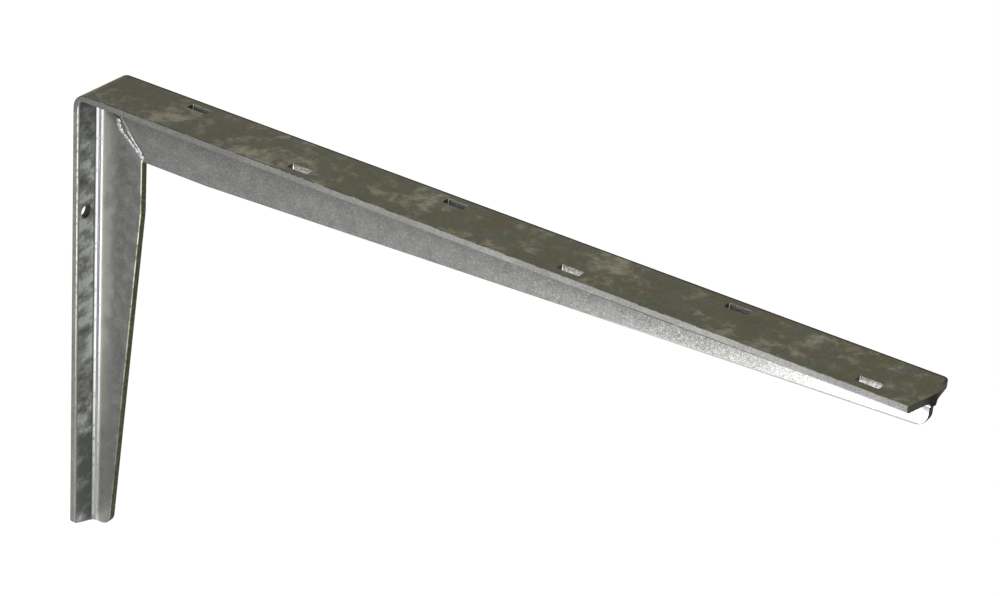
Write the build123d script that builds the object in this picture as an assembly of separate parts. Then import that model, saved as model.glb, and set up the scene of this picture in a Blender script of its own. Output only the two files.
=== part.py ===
from build123d import *
import os

# Shelf bracket, one solid: a length of T bar whose web was notched, whose flange was bent square,
# and whose mitre was closed with a short weld on both sides. Lengths are in millimetres.
# X = 0 is the wall plane, Z = 0 the plane under the shelf, and Y = 0 the middle of the web.
# The arm runs along +X under the shelf, and the leg runs down the wall along -Z.

# T bar
flange_width = 40.0
flange_thickness = 4.5
web_thickness = 4.2
root_radius = 2.8
toe_radius = 1.0
arris_radius = 0.4

# Lengths from the two planes to the ends of the flange at mid-width
arm_length = 550.0
leg_length = 300.0

# Square bend of the flange
bend_outer_radius = 9.5
bend_inner_radius = 2.0

# Web depth from the flange's outer face: parallel near the corner, then tapered to each end
arm_web_depth = 39.2
arm_web_end_depth = 19.3
arm_taper_start = 85.0
leg_web_depth = 37.8
leg_web_end_depth = 17.1
leg_taper_start = 73.0
web_end_radius = 8.0
web_end_setback = 1.2
web_corner_radius = 1.2

# Cropped ends of the flange, one stroke of the shears on each side of the web
arm_near_setback = 5.2
arm_near_step = 1.0
arm_far_setback = 2.4
leg_setback = 5.4
arm_near_corner_radius = 1.0
arm_far_corner_radius = 4.0
leg_corner_radius = 2.0

# Punched slots for the shelf's screws, staggered on both sides of the web
slot_length = 14.0
slot_width = 5.8
slot_corner_radius = 0.8
slot_line = 11.4
slot_first = 68.0
slot_pitch = 90.0
slot_end_margin = 25.0

# Round holes for the wall screws, one on each side of the web
wall_hole_diameter = 8.4
wall_hole_line = 12.8
wall_hole_from_end = 79.0

# Weld in the mitre: two ridges that close on the web's corner, and an unwelded slit above them.
# The leg's ridge first swings wide, to a knee.
seam_start_x = 20.3
seam_start_z = -16.6
seam_end_inset_x = 0.3
seam_end_inset_z = 2.9
seam_start_spread = 1.6
seam_knee_from_start = 5.0
seam_knee_spread = 3.6
seam_end_spread = 0.65
arm_ridge_start_radius = 0.65
leg_ridge_start_radius = 0.9
leg_ridge_knee_radius = 1.0
ridge_end_radius = 0.75
ridge_sink = 0.25
slit_width = 0.6
slit_depth = 0.9
slit_start_x = 11.5
slit_start_z = -13.6

half_width = flange_width / 2
half_web = web_thickness / 2
# The web and its roots reach this deep into the flange, so that all of it is one solid
root_seat = flange_thickness - bend_inner_radius / 2
slot_count = int((arm_length - slot_first - slot_end_margin) // slot_pitch) + 1
seam_start = Vector(seam_start_x, 0, seam_start_z)
seam_end = Vector(leg_web_depth - seam_end_inset_x, 0, seam_end_inset_z - arm_web_depth)
slit_start = Vector(slit_start_x, 0, slit_start_z)
# Cutters run this far past what they cut
clear = 2.0
tolerance = 0.01

# Sections seen along each limb: local X is the width, local Y the depth from the flange's outer face
arm_section = Plane(origin=(0, 0, 0), x_dir=(0, -1, 0), z_dir=(1, 0, 0))
leg_section = Plane(origin=(0, 0, 0), x_dir=(0, 1, 0), z_dir=(0, 0, -1))

on_base = (Align.CENTER, Align.CENTER, Align.MIN)


def nearest_corner(outline, x, y):
    return outline.vertices().sort_by_distance((x, y, 0))[0]


def closed(*points):
    return make_face(Polyline(*points, close=True))


def side_edges(solid, half):
    """Edges that lie on either side face of a solid that is 2 * half wide in Y."""
    return [e for e in solid.edges() if abs(abs(e.center().Y) - half) < tolerance]


def lies_inside(edge, depth):
    """True for an edge at least this deep under both outer planes."""
    return all(v.X > depth - tolerance and v.Z < tolerance - depth for v in edge.vertices())


def lies_outside(edge):
    """True for an edge on the wall plane, on the shelf plane or on the bend between them."""
    return all(v.X < tolerance or v.Z > -tolerance for v in edge.vertices())


def bent_flange():
    """The flat strip of the bar, bent square, with round toes inside and a small arris outside."""
    outline = closed(
        (0, 0),
        (arm_length, 0),
        (arm_length, -flange_thickness),
        (flange_thickness, -flange_thickness),
        (flange_thickness, -leg_length),
        (0, -leg_length),
    )
    outline = fillet(nearest_corner(outline, 0, 0), bend_outer_radius)
    outline = fillet(nearest_corner(outline, flange_thickness, -flange_thickness), bend_inner_radius)
    strip = extrude(Plane.XZ * outline, amount=half_width, both=True)
    toes = [e for e in side_edges(strip, half_width) if lies_inside(e, flange_thickness)]
    strip = fillet(toes, toe_radius)
    arrises = [e for e in side_edges(strip, half_width) if lies_outside(e)]
    return fillet(arrises, arris_radius)


def end_outline(length, setback_low, step_low, setback_high, radius_low, radius_high):
    """Plan of a limb seen on its flange: X along the limb, Y across it, pointed at the web."""
    outline = closed(
        (0, -half_width),
        (length - setback_low, -half_width),
        (length - step_low, -half_web),
        (length, half_web),
        (length - setback_high, half_width),
        (0, half_width),
    )
    outline = fillet(nearest_corner(outline, length - setback_low, -half_width), radius_low)
    return fillet(nearest_corner(outline, length - setback_high, half_width), radius_high)


def cropped_ends():
    """Everything that the shears left: the arm's plan and the leg's elevation."""
    depth = flange_thickness + root_radius + clear
    arm_plan = Plane(origin=(0, 0, -depth), x_dir=(1, 0, 0), z_dir=(0, 0, 1))
    leg_elevation = Plane(origin=(depth, 0, 0), x_dir=(0, 0, -1), z_dir=(-1, 0, 0))
    arm = end_outline(
        arm_length,
        arm_near_setback,
        arm_near_step,
        arm_far_setback,
        arm_near_corner_radius,
        arm_far_corner_radius,
    )
    leg = end_outline(leg_length, leg_setback, 0, leg_setback, leg_corner_radius, leg_corner_radius)
    return extrude(arm_plan * arm, amount=depth) + extrude(leg_elevation * leg, amount=depth)


def root_strip(section, length):
    """The rolled root of the T along one limb, from the bend to the limb's end."""
    foot = half_web + root_radius
    top = flange_thickness + root_radius
    outline = closed(
        (-foot, root_seat),
        (foot, root_seat),
        (foot, flange_thickness),
        (half_web, flange_thickness),
        (half_web, top),
        (-half_web, top),
        (-half_web, flange_thickness),
        (-foot, flange_thickness),
    )
    for side in (half_web, -half_web):
        outline = fillet(nearest_corner(outline, side, flange_thickness), root_radius)
    return extrude(section * outline, amount=length)


def mitred_roots():
    """The roots of both limbs, each cut to the mitre, where they meet."""
    reach = flange_thickness + root_radius + clear
    arm_side = closed((0, 0), (arm_length, 0), (arm_length, -reach), (reach, -reach))
    leg_side = closed((0, 0), (reach, -reach), (reach, -leg_length), (0, -leg_length))
    arm_root = root_strip(arm_section, arm_length) & extrude(Plane.XZ * arm_side, half_width, both=True)
    leg_root = root_strip(leg_section, leg_length) & extrude(Plane.XZ * leg_side, half_width, both=True)
    return arm_root + leg_root


def web_plate():
    """The notched web of both limbs, closed along the mitre."""
    arm_end = arm_length - web_end_setback
    outline = closed(
        (root_seat, -root_seat),
        (arm_end, -root_seat),
        (arm_end, -arm_web_end_depth),
        (arm_taper_start, -arm_web_depth),
        (leg_web_depth, -arm_web_depth),
        (leg_web_depth, -leg_taper_start),
        (leg_web_end_depth, -leg_length),
        (root_seat, -leg_length),
    )
    for x, z in ((arm_end, -arm_web_end_depth), (leg_web_end_depth, -leg_length)):
        outline = fillet(nearest_corner(outline, x, z), web_end_radius)
    outline = fillet(nearest_corner(outline, leg_web_depth, -arm_web_depth), web_corner_radius)
    plate = extrude(Plane.XZ * outline, amount=half_web, both=True)
    free_edges = [e for e in side_edges(plate, half_web) if lies_inside(e, root_seat + clear)]
    return fillet(free_edges, arris_radius)


def bead(first, first_radius, last, last_radius):
    """A straight stretch of weld ridge with round ends."""
    run = last - first
    cone = Cone(first_radius, last_radius, run.length, align=on_base)
    ends = Pos(first) * Sphere(first_radius) + Pos(last) * Sphere(last_radius)
    return Plane(origin=first, z_dir=run) * cone + ends


def weld_ridges(side):
    """The two ridges of the seam on one face of the web: the arm's is straight, the leg's has a knee."""
    along = (seam_end - seam_start).normalized()
    across = Vector(-along.Z, 0, along.X)
    height = Vector(0, side * (half_web - ridge_sink), 0)
    start = seam_start + height
    knee = start + along * seam_knee_from_start - across * seam_knee_spread
    end = seam_end + height
    arm_start = start + across * seam_start_spread
    arm_end = end + across * seam_end_spread
    leg_start = start - across * seam_start_spread
    leg_end = end - across * seam_end_spread
    arm_ridge = bead(arm_start, arm_ridge_start_radius, arm_end, ridge_end_radius)
    leg_ridge = bead(leg_start, leg_ridge_start_radius, knee, leg_ridge_knee_radius)
    leg_ridge += bead(knee, leg_ridge_knee_radius, leg_end, ridge_end_radius)
    return arm_ridge + leg_ridge


def mitre_slit(side):
    """The short open stretch of the mitre between the flange and the weld, on one face of the web."""
    run = seam_start - slit_start
    groove = Box(2 * slit_depth, slit_width, run.length, align=on_base)
    top = slit_start + Vector(0, side * half_web, 0)
    return Plane(origin=top, x_dir=(0, 1, 0), z_dir=run) * groove


def shelf_slots():
    """Rectangular punched slots, the first on the far side of the web and the next on the near side."""
    window = fillet(Rectangle(slot_length, slot_width).vertices(), slot_corner_radius)
    punch = extrude(window, amount=flange_thickness / 2 + clear, both=True)
    slots = []
    for number in range(slot_count):
        side = 1 if number % 2 == 0 else -1
        slots.append(Pos(slot_first + number * slot_pitch, side * slot_line, -flange_thickness / 2) * punch)
    return slots


def wall_holes():
    """Two round holes, one near each end of the leg, on opposite sides of the web."""
    drill = Cylinder(wall_hole_diameter / 2, flange_thickness + 2 * clear, rotation=(0, 90, 0))
    upper = Pos(flange_thickness / 2, -wall_hole_line, -wall_hole_from_end)
    lower = Pos(flange_thickness / 2, wall_hole_line, wall_hole_from_end - leg_length)
    return [upper * drill, lower * drill]


bracket = (bent_flange() + mitred_roots()) & cropped_ends()
bracket += web_plate()
for side in (-1, 1):
    bracket += weld_ridges(side)
    bracket -= mitre_slit(side)
for cutter in shelf_slots() + wall_holes():
    bracket -= cutter

os.makedirs("parts", exist_ok=True)
export_step(bracket, "parts/bracket.step")
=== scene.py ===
import math

import bmesh
import bpy
from mathutils import Matrix, Vector


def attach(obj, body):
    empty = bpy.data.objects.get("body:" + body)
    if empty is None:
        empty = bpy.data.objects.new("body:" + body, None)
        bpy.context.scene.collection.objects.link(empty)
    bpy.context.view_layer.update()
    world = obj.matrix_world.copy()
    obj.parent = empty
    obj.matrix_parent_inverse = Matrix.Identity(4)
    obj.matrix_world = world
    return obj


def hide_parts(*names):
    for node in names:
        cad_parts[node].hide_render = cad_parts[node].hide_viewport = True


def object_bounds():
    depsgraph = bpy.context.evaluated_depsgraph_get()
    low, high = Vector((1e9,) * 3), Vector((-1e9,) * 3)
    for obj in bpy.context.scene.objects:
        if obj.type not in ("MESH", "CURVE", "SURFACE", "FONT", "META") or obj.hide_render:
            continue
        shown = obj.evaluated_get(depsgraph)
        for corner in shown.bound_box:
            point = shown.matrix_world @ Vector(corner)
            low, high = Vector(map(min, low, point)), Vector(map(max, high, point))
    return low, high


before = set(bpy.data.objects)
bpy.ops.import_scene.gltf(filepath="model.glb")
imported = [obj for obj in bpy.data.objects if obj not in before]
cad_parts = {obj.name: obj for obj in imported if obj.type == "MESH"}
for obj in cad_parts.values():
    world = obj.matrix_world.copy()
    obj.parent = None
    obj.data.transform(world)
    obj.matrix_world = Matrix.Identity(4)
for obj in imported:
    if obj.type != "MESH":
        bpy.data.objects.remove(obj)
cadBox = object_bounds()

mm = 0.001  # the scene is in metres, sizes below are in millimetres

# The T bar as it was rolled, bent and cut. A taper goes from its first place to its second, and the web's depth
# from the third number to the fourth.
bar = {"halfWidth": 20.0, "flange": 4.5, "halfWeb": 2.1, "root": 2.8, "toe": 1.0, "bend": 9.5, "arm": 550.0,
       "leg": 300.0, "armTaper": (85.0, 548.8, 39.2, 19.3), "legTaper": (-300.0, -73.0, 17.1, 37.8)}


def linear(hexColour):  # sRGB hex to the linear colour that a shader takes
    parts = [int(hexColour[i:i + 2], 16) / 255 for i in (1, 3, 5)]
    return tuple(c / 12.92 if c <= 0.04045 else ((c + 0.055) / 1.055) ** 2.4 for c in parts) + (1.0,)


def perMm(size):  # texture scale that puts one feature in this many millimetres
    return 1.0 / (size * mm)


def span(numbers, unit=1.0):  # a Map Range's values: from the first two numbers, in this unit, to the last two
    return {1: numbers[0] * unit, 2: numbers[1] * unit, 3: numbers[2], 4: numbers[3]}


def addNode(tree, kind, values=None, links=None, stops=(), **settings):  # a link comes from a socket or from a node
    node = tree.nodes.new(kind)
    for name, value in settings.items():
        setattr(node, name, value)
    for key, value in (values or {}).items():
        node.inputs[key].default_value = value
    for key, source in (links or {}).items():
        if isinstance(source, bpy.types.Node):
            source = next(socket for socket in source.outputs if socket.enabled)
        tree.links.new(source, node.inputs[key])
    if stops:  # a ramp's, as position and hex colour
        elements = node.color_ramp.elements
        while len(elements) < len(stops):
            elements.new(0.5)
        for element, (position, hexColour) in zip(elements, stops):
            element.position = position
            element.color = linear(hexColour)
    return node


def newMaterial(name):
    material = bpy.data.materials.new(name)
    material.use_nodes = True
    tree = material.node_tree
    tree.nodes.clear()
    return material, tree, addNode(tree, "ShaderNodeTexCoord").outputs["Object"]


# All of it is steel dipped in zinc, and each kind of face has kept its zinc in its own way.

# Outer faces: dipped zinc dulled by weather, olive and brown in turn, with feathery paler clouds on it
weathered = {"brown": "#4F4631", "olive": "#494A2E", "grey": "#4D4B3C", "light": "#7F7A64", "dark": "#1F1E15",
             "hue": 13.0, "cloud": 42.0, "feather": 10.0, "mottle": 2.4, "grain": 0.7,
             "cloudShare": 0.5, "featherShare": 0.7, "clouds": (0.6, 0.78, 0.0, 0.9),
             "specks": (0.7, 1.3, 0.72, 1.28), "nearCorner": (30.0, 170.0, 0.84, 1.0),
             "farRimShade": (18.1, 18.6, 0.0, 0.95), "arcCentre": (543.9, 16.0, 0.0), "arcShade": (2.4, 3.2, 0.0, 0.9),
             "farCorner": (10.0, 15.0, 0.0, 1.0), "rough": (0.4, 0.8, 0.62, 0.48), "metal": (0.0, 1.0, 0.5, 1.0)}


def weatheredZinc():
    material, tree, where = newMaterial("dippedZincWeathered")
    w = weathered
    x, y, z = addNode(tree, "ShaderNodeSeparateXYZ", links={0: where}).outputs
    hue = addNode(tree, "ShaderNodeTexNoise",
                  {"Scale": perMm(w["hue"]), "Detail": 6.0, "Roughness": 0.62, "Distortion": 0.2}, {"Vector": where})
    base = addNode(tree, "ShaderNodeValToRGB", links={"Fac": hue},
                   stops=((0.38, w["brown"]), (0.48, w["olive"]), (0.6, w["grey"])))
    cloud = addNode(tree, "ShaderNodeTexNoise", {"Scale": perMm(w["cloud"]), "Detail": 2.0, "Distortion": 0.3},
                    {"Vector": where})
    feather = addNode(tree, "ShaderNodeTexNoise",
                      {"Scale": perMm(w["feather"]), "Detail": 8.0, "Roughness": 0.66, "Distortion": 0.35},
                      {"Vector": where})
    mottle = addNode(tree, "ShaderNodeTexNoise", {"Scale": perMm(w["mottle"]), "Detail": 4.0}, {"Vector": where})
    grain = addNode(tree, "ShaderNodeTexNoise", {"Scale": perMm(w["grain"]), "Detail": 2.0}, {"Vector": where})
    gather = addNode(tree, "ShaderNodeMath", {1: w["cloudShare"]}, {0: cloud}, operation="MULTIPLY")
    gather = addNode(tree, "ShaderNodeMath", {1: w["featherShare"]}, {0: feather, 2: gather}, operation="MULTIPLY_ADD")
    pale = addNode(tree, "ShaderNodeMapRange", span(w["clouds"]), {0: gather}, interpolation_type="SMOOTHSTEP")
    cloudy = addNode(tree, "ShaderNodeMix", {7: linear(w["light"])}, {0: pale, 6: base}, data_type="RGBA")
    fine = addNode(tree, "ShaderNodeMath", links={0: grain, 1: mottle}, operation="ADD")
    speck = addNode(tree, "ShaderNodeMapRange", span(w["specks"]), {0: fine})
    inward = addNode(tree, "ShaderNodeMapRange", span(w["nearCorner"], mm), {0: x})
    speck = addNode(tree, "ShaderNodeMath", links={0: speck, 1: inward}, operation="MULTIPLY")
    shade = addNode(tree, "ShaderNodeVectorMath", links={0: cloudy, 1: speck}, operation="MULTIPLY")
    # painted shade: dark along the far rim and round the far corner of the arm's end, where the zinc is also made fully
    # metallic
    rim = addNode(tree, "ShaderNodeMapRange", span(w["farRimShade"], mm), {0: y})
    toArc = addNode(tree, "ShaderNodeCombineXYZ", links={0: x, 1: y})
    toArc = addNode(tree, "ShaderNodeVectorMath", {1: tuple(c * mm for c in w["arcCentre"])}, {0: toArc},
                    operation="SUBTRACT")
    toArc = addNode(tree, "ShaderNodeVectorMath", {1: (0.0, 0.0, 0.0)}, {0: toArc}, operation="MAXIMUM")
    toArc = addNode(tree, "ShaderNodeVectorMath", links={0: toArc}, operation="LENGTH")
    arcShade = addNode(tree, "ShaderNodeMapRange", span(w["arcShade"], mm), {0: toArc})
    atCorner = addNode(tree, "ShaderNodeMapRange", span(w["farCorner"], mm), {0: y})
    arcShade = addNode(tree, "ShaderNodeMath", links={0: arcShade, 1: atCorner}, operation="MULTIPLY")
    rim = addNode(tree, "ShaderNodeMath", links={0: rim, 1: arcShade}, operation="MAXIMUM")
    rimShaded = addNode(tree, "ShaderNodeMix", {7: linear(w["dark"])}, {0: rim, 6: shade}, data_type="RGBA")
    rough = addNode(tree, "ShaderNodeMapRange", span(w["rough"]), {0: gather})
    metal = addNode(tree, "ShaderNodeMapRange", span(w["metal"]), {0: rim})
    bump = addNode(tree, "ShaderNodeBump", {"Strength": 0.25, "Distance": 0.15 * mm}, {"Height": grain})
    zinc = addNode(tree, "ShaderNodeBsdfPrincipled",
                   links={"Base Color": rimShaded, "Roughness": rough, "Metallic": metal, "Normal": bump})
    addNode(tree, "ShaderNodeOutputMaterial", links={"Surface": zinc})
    return material


# Long outer corners of the flange: painted dark as shade, with bright specks of painted highlight
cornerShading = {"dark": "#26251C", "mid": "#73736B", "speck": "#C9C9C5", "patch": 6.0, "dot": 0.7,
          "outward": (60.0, 380.0, -0.12, 0.12), "farSideShade": (-1.0, 1.0, 0.0, -0.5), "specks": (0.66, 0.7, 0.0, 0.7)}


def shadedCornerZinc():
    material, tree, where = newMaterial("dippedZincShadedCorner")
    r = cornerShading
    x, y, z = addNode(tree, "ShaderNodeSeparateXYZ", links={0: where}).outputs
    patch = addNode(tree, "ShaderNodeTexNoise", {"Scale": perMm(r["patch"]), "Detail": 4.0}, {"Vector": where})
    dot = addNode(tree, "ShaderNodeTexNoise", {"Scale": perMm(r["dot"]), "Detail": 2.0}, {"Vector": where})
    paintedLightShift = addNode(tree, "ShaderNodeMapRange", span(r["outward"], mm), {0: x})
    farSideShade = addNode(tree, "ShaderNodeMapRange", span(r["farSideShade"], mm), {0: y})  # painted shade on the far side, with fewer painted highlights
    paintedLightShift = addNode(tree, "ShaderNodeMath", links={0: paintedLightShift, 1: farSideShade}, operation="ADD")
    tone = addNode(tree, "ShaderNodeMath", links={0: patch, 1: paintedLightShift}, operation="ADD")
    base = addNode(tree, "ShaderNodeValToRGB", links={"Fac": tone}, stops=((0.44, r["dark"]), (0.58, r["mid"])))
    lit = addNode(tree, "ShaderNodeMath", links={0: dot, 1: farSideShade}, operation="ADD")
    lit = addNode(tree, "ShaderNodeMapRange", span(r["specks"]), {0: lit})
    colour = addNode(tree, "ShaderNodeMix", {7: linear(r["speck"])}, {0: lit, 6: base}, data_type="RGBA")
    bump = addNode(tree, "ShaderNodeBump", {"Strength": 0.3, "Distance": 0.1 * mm}, {"Height": dot})
    zinc = addNode(tree, "ShaderNodeBsdfPrincipled", {"Roughness": 0.5, "Metallic": 0.5},
                   {"Base Color": colour, "Normal": bump})
    addNode(tree, "ShaderNodeOutputMaterial", links={"Surface": zinc})
    return material


# Web faces: dipped zinc with a fine spangle, small crystals that lean each their own way, a few of them painted paler
# as glints
spangled = {"dark": "#696A67", "mid": "#727270", "light": "#7C7D7B", "glint": "#A3A3A0", "warm": "#9C9D97",
            "rootGlowLight": "#A9AB93", "bright": "#F1F2F1", "line": "#DCDCC8", "under": "#A19FA4",
            "crystal": 0.55, "patch": 8.0, "crystalShare": 0.2, "patchShare": 0.8, "glintShare": 0.9,
            "onLeg": (0.0, 9.0, 0.0, 1.0), "glintShow": (0.0, 1.0, 0.45, 0.2),
            "legLean": 0.02, "lean": (420.0, 490.0, 0.075, 0.035),
            "smoothest": (0.0, 1.0, 0.27, 0.38), "roughest": (420.0, 490.0, 0.4, 0.31), "metal": (0.0, 1.0, 0.8, 0.4)}
# the leg's painted pale band and its two painted highlights, each with how it fades down the leg
legZinc = {"wander": 26.0, "paleBand": (8.5, 19.0, 0.72, 0.0), "paleDown": (-235.0, -165.0, 0.35, 1.0),
           "freeSideShadeBand": (13.0, 24.0, 1.0, 0.76), "mottle": (0.35, 0.65, 0.88, 1.1),
           "rootGlow": (8.4, 9.8, 0.8, 0.0), "rootLine": (7.6, 8.1, 1.0, 0.0), "rootDown": (-275.0, -165.0, 0.3, 1.0),
           "freeLine": (0.9, 1.3, 1.0, 0.0), "freeTop": -38.0, "freeDown": (-230.0, -90.0, 0.15, 1.0),
           "freeBreaks": (0.4, 0.52, 0.2, 1.0)}
# the arm's painted shade under the flange and near the corner, its grey lower line, and its painted shade at the tip
armZinc = {"under": (6.0, 25.0, 1.0, 0.0), "underDeeper": (250.0, 370.0, 0.48, 0.68),
           "underEnd": (430.0, 490.0, 1.0, 0.1), "corner": (45.0, 190.0, 0.14, 0.0),
           "lowLine": (0.9, 1.2, 0.9, 0.0), "lowStart": (330.0, 430.0, 0.0, 1.0),
           "tipShade": (541.0, 546.0, 0.0, 0.85), "tipDepth": (7.0, 13.0, 1.0, 0.0)}


def spangledZinc():
    material, tree, where = newMaterial("dippedZincSpangled")
    s, leg, arm = spangled, legZinc, armZinc
    x, y, z = addNode(tree, "ShaderNodeSeparateXYZ", links={0: where}).outputs
    crystal = addNode(tree, "ShaderNodeTexVoronoi", {"Scale": perMm(s["crystal"])}, {"Vector": where})
    hue, leaning, chance = addNode(tree, "ShaderNodeSeparateColor", links={0: crystal.outputs["Color"]}).outputs
    patch = addNode(tree, "ShaderNodeTexNoise",
                    {"Scale": perMm(s["patch"]), "Detail": 6.0, "Roughness": 0.65, "Distortion": 0.3},
                    {"Vector": where})
    tone = addNode(tree, "ShaderNodeMath", {1: s["crystalShare"]}, {0: hue}, operation="MULTIPLY")
    tone = addNode(tree, "ShaderNodeMath", {1: s["patchShare"]}, {0: patch, 2: tone}, operation="MULTIPLY_ADD")
    base = addNode(tree, "ShaderNodeValToRGB", links={"Fac": tone},
                   stops=((0.34, s["dark"]), (0.5, s["mid"]), (0.66, s["light"])))
    below = addNode(tree, "ShaderNodeMath", {1: -1.0}, {0: z}, operation="MULTIPLY")
    past = addNode(tree, "ShaderNodeMath", links={0: below, 1: x}, operation="SUBTRACT")
    onLeg = addNode(tree, "ShaderNodeMapRange", span(s["onLeg"], mm), {0: past})
    onArm = addNode(tree, "ShaderNodeMath", {0: 1.0}, {1: onLeg}, operation="SUBTRACT")
    glint = addNode(tree, "ShaderNodeMath", {1: s["glintShare"]}, {0: chance}, operation="GREATER_THAN")
    glow = addNode(tree, "ShaderNodeMapRange", span(s["glintShow"]), {0: onLeg})
    glint = addNode(tree, "ShaderNodeMath", links={0: glint, 1: glow}, operation="MULTIPLY")
    base = addNode(tree, "ShaderNodeMix", {7: linear(s["glint"])}, {0: glint, 6: base}, data_type="RGBA")
    # on the leg a painted light lies pale beside the root, and painted shade darkens the web towards the free edge
    wander = addNode(tree, "ShaderNodeMath", {1: leg["wander"] * mm, 2: -leg["wander"] / 2 * mm}, {0: patch},
                     operation="MULTIPLY_ADD")
    wander = addNode(tree, "ShaderNodeMath", links={0: wander, 1: x}, operation="ADD")
    rootSideLight = addNode(tree, "ShaderNodeMapRange", span(leg["paleBand"], mm), {0: wander}, interpolation_type="SMOOTHSTEP")
    down = addNode(tree, "ShaderNodeMapRange", span(leg["paleDown"], mm), {0: z})
    for mask in (down, onLeg):
        rootSideLight = addNode(tree, "ShaderNodeMath", links={0: rootSideLight, 1: mask}, operation="MULTIPLY")
    freeSideShade = addNode(tree, "ShaderNodeMapRange", span(leg["freeSideShadeBand"], mm), {0: x})
    freeSideShade = addNode(tree, "ShaderNodeMix", {2: 1.0}, {0: onLeg, 3: freeSideShade}, data_type="FLOAT")
    base = addNode(tree, "ShaderNodeVectorMath", links={0: base, 1: freeSideShade}, operation="MULTIPLY")
    base = addNode(tree, "ShaderNodeMix", {7: linear(s["warm"])}, {0: rootSideLight, 6: base}, data_type="RGBA")
    mottle = addNode(tree, "ShaderNodeMapRange", span(leg["mottle"]), {0: patch})
    mottle = addNode(tree, "ShaderNodeMix", {2: 1.0}, {0: onLeg, 3: mottle}, data_type="FLOAT")
    base = addNode(tree, "ShaderNodeVectorMath", links={0: base, 1: mottle}, operation="MULTIPLY")
    # painted shade: the arm's web is a little darker up under the flange and near the corner
    under = addNode(tree, "ShaderNodeMapRange", span(arm["under"], mm), {0: below})
    deeper = addNode(tree, "ShaderNodeMapRange", span(arm["underDeeper"], mm), {0: x})
    ending = addNode(tree, "ShaderNodeMapRange", span(arm["underEnd"], mm), {0: x})
    for mask in (deeper, ending, onArm):
        under = addNode(tree, "ShaderNodeMath", links={0: under, 1: mask}, operation="MULTIPLY")
    corner = addNode(tree, "ShaderNodeMapRange", span(arm["corner"], mm), {0: x})
    corner = addNode(tree, "ShaderNodeMath", links={0: corner, 1: onArm}, operation="MULTIPLY")
    under = addNode(tree, "ShaderNodeMath", links={0: under, 1: corner}, operation="ADD")
    level = addNode(tree, "ShaderNodeMath", {0: 1.0}, {1: under}, operation="SUBTRACT")
    base = addNode(tree, "ShaderNodeVectorMath", links={0: base, 1: level}, operation="MULTIPLY")
    # and grey along its lower edge, with painted shade at its tip just under the root
    start, end, deep, shallow = bar["armTaper"]
    toLow = addNode(tree, "ShaderNodeMapRange", span((start, end, deep * mm, shallow * mm), mm), {0: x})
    toLow = addNode(tree, "ShaderNodeMath", links={0: toLow, 1: below}, operation="SUBTRACT")
    grey = addNode(tree, "ShaderNodeMapRange", span(arm["lowLine"], mm), {0: toLow})
    late = addNode(tree, "ShaderNodeMapRange", span(arm["lowStart"], mm), {0: x})
    grey = addNode(tree, "ShaderNodeMath", links={0: grey, 1: late}, operation="MULTIPLY")
    tipShade = addNode(tree, "ShaderNodeMapRange", span(arm["tipShade"], mm), {0: x})
    high = addNode(tree, "ShaderNodeMapRange", span(arm["tipDepth"], mm), {0: below})
    tipShade = addNode(tree, "ShaderNodeMath", links={0: tipShade, 1: high}, operation="MULTIPLY")
    grey = addNode(tree, "ShaderNodeMath", links={0: grey, 1: tipShade}, operation="MAXIMUM")
    base = addNode(tree, "ShaderNodeMix", {7: linear(s["under"])}, {0: grey, 6: base}, data_type="RGBA")
    # two painted highlights on the leg: one beside the root, with a painted glow beside it, one along the free edge
    rootGlowLight = addNode(tree, "ShaderNodeMapRange", span(leg["rootGlow"], mm), {0: x})
    lit = addNode(tree, "ShaderNodeMapRange", span(leg["rootLine"], mm), {0: x})
    down = addNode(tree, "ShaderNodeMapRange", span(leg["rootDown"], mm), {0: z})
    for mask in (onLeg, down):
        rootGlowLight = addNode(tree, "ShaderNodeMath", links={0: rootGlowLight, 1: mask}, operation="MULTIPLY")
    lit = addNode(tree, "ShaderNodeMath", links={0: lit, 1: down}, operation="MULTIPLY")
    base = addNode(tree, "ShaderNodeMix", {7: linear(s["rootGlowLight"])}, {0: rootGlowLight, 6: base}, data_type="RGBA")
    base = addNode(tree, "ShaderNodeMix", {7: linear(s["bright"])}, {0: lit, 6: base}, data_type="RGBA")
    start, end, shallow, deep = bar["legTaper"]
    toFree = addNode(tree, "ShaderNodeMapRange", span((start, end, shallow * mm, deep * mm), mm), {0: z})
    toFree = addNode(tree, "ShaderNodeMath", links={0: toFree, 1: x}, operation="SUBTRACT")
    line = addNode(tree, "ShaderNodeMapRange", span(leg["freeLine"], mm), {0: toFree})
    lower = addNode(tree, "ShaderNodeMath", {1: leg["freeTop"] * mm}, {0: z}, operation="LESS_THAN")
    inside = addNode(tree, "ShaderNodeMath", {1: -0.1 * mm}, {0: toFree}, operation="GREATER_THAN")
    down = addNode(tree, "ShaderNodeMapRange", span(leg["freeDown"], mm), {0: z})
    broken = addNode(tree, "ShaderNodeMapRange", span(leg["freeBreaks"]), {0: patch})
    for mask in (lower, inside, down, broken):
        line = addNode(tree, "ShaderNodeMath", links={0: line, 1: mask}, operation="MULTIPLY")
    colour = addNode(tree, "ShaderNodeMix", {7: linear(s["line"])}, {0: line, 6: base}, data_type="RGBA")
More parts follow.
